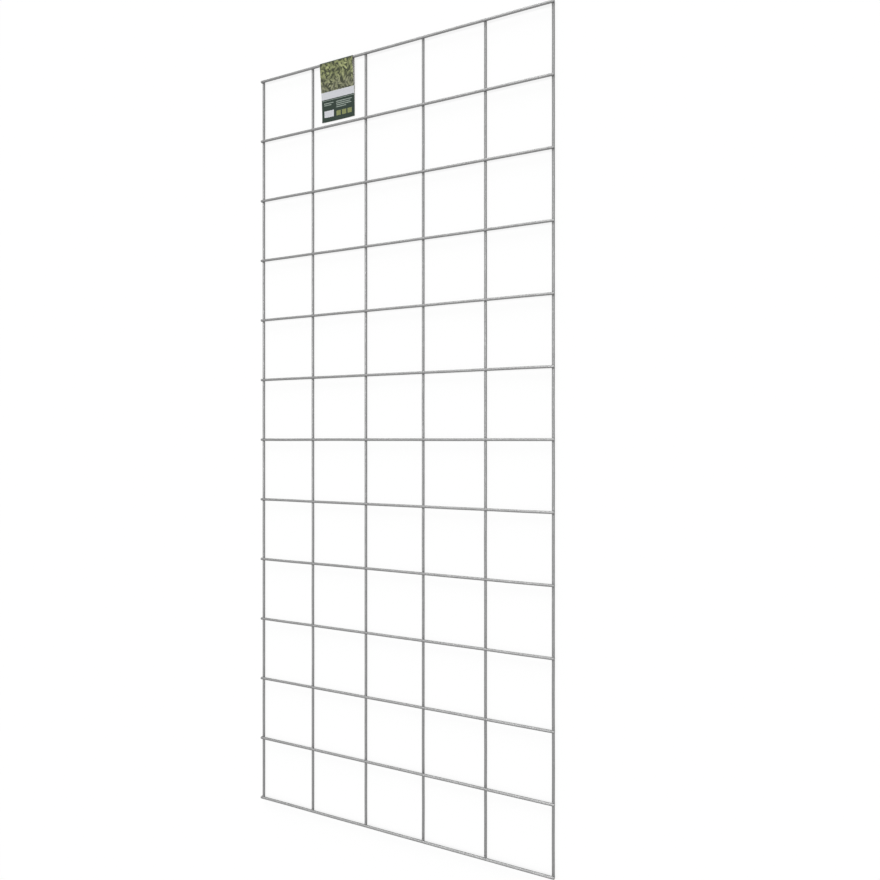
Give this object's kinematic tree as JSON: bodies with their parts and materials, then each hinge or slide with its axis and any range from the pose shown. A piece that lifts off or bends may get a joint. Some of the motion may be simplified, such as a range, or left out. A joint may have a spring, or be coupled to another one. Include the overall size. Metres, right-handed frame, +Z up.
{
  "type": "welded wire mesh panel",
  "caption": "Flat rectangular panel of galvanised round wire welded into large square cells, with a printed card tag folded over its end wire.",
  "frame": {"origin": "on the floor under the middle of the panel, midway between its side wires and its end wires", "axes": "+X across the panel along its cross wires, +Y along its long wires towards the end that carries the card tag, +Z up out of the floor, from the long wires to the cross wires"},
  "size_m": [0.758, 1.808, 0.0126],
  "materials": {
    "galvanised_wire": "hot-dip galvanised, dull grey with a soft sheen",
    "printed_card": "printed card, satin"
  },
  "bodies": {
    "root": {"wire_mesh": "galvanised_wire", "label_card": "printed_card"}
  },
  "joints": []
}
